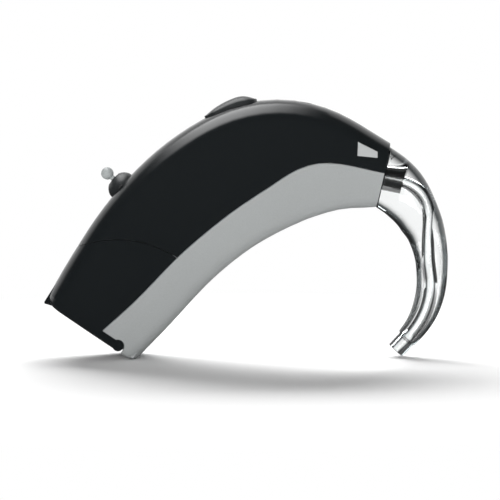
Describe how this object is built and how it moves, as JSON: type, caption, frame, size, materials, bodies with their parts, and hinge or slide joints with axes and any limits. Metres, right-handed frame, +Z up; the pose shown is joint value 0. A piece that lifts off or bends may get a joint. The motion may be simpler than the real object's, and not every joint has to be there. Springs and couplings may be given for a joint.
{
  "type": "behind the ear hearing aid",
  "caption": "Behind-the-ear hearing aid: curved two-tone casing with battery door, program button, volume lever and a clear turning ear hook that carries sound to ear mould tubing.",
  "frame": {"origin": "middle of the plan box, on the plane that the rear corner of the body and the tip of the ear hook stand on", "axes": "+X towards the ear hook, +Y across the width away from the side marker, +Z up"},
  "size_m": [0.0515, 0.0096, 0.0334],
  "materials": {
    "black_casing": "polished black",
    "silver_casing": "satin silver with a fine metallic grain",
    "black_trim": "satin black",
    "marker_grey": "satin light grey",
    "lever_grey": "smooth light grey",
    "hook_clear": "clear moulded plastic",
    "frame_plastic": "moulded",
    "cell_steel": "bright nickel",
    "pin_steel": "ground",
    "can_steel": "drawn can",
    "contact_gold": "gold plated",
    "screen_mesh": "fine mesh",
    "soft_rubber": "soft",
    "board_green": "solder mask",
    "chip_black": "moulded package",
    "coil_copper": "enamelled winding"
  },
  "bodies": {
    "root": {"upper_shell": "black_casing", "lower_shell": "silver_casing", "chassis_frame": "frame_plastic", "side_marker": "marker_grey", "hook_nozzle": "black_trim", "hinge_pin": "pin_steel", "plus_contact": "contact_gold", "minus_contact": "contact_gold", "program_switch": "frame_plastic", "volume_collar": "black_trim", "lever_pin": "pin_steel", "volume_sensor": "frame_plastic", "front_microphone": "can_steel", "rear_microphone": "can_steel", "microphone_boots": "soft_rubber", "microphone_screens": "screen_mesh", "circuit_board": "board_green", "processor_chip": "chip_black", "telecoil": "coil_copper", "receiver": "can_steel", "receiver_boot": "soft_rubber", "sound_tube": "soft_rubber", "frame_screws": "pin_steel"},
    "door": {"battery_door": "black_casing", "battery_cell": "cell_steel"},
    "button": {"program_button": "black_trim"},
    "lever": {"volume_lever": "lever_grey"},
    "hook": {"ear_hook": "hook_clear"}
  },
  "joints": [
    {"name": "door_swing", "type": "hinge", "parent": "root", "child": "door", "pos_m": [-0.01624, 0, 0.00191], "axis": [0, -1, 0], "range_deg": [0, 90]},
    {"name": "button_press", "type": "slide", "parent": "root", "child": "button", "axis": [0.3175, 0, -0.9482], "range_m": [0, 0.0004], "stiffness_N_per_m": 2500},
    {"name": "lever_tilt", "type": "hinge", "parent": "root", "child": "lever", "pos_m": [-0.01584, 0, 0.02188], "axis": [0, 1, 0], "range_deg": [-12, 12], "stiffness_Nm_per_rad": 0.006},
    {"name": "hook_turn", "type": "hinge", "parent": "root", "child": "hook", "pos_m": [0.01735, 0, 0.02313], "axis": [0.9741, 0, -0.2262], "range_deg": [-90, 90]}
  ]
}
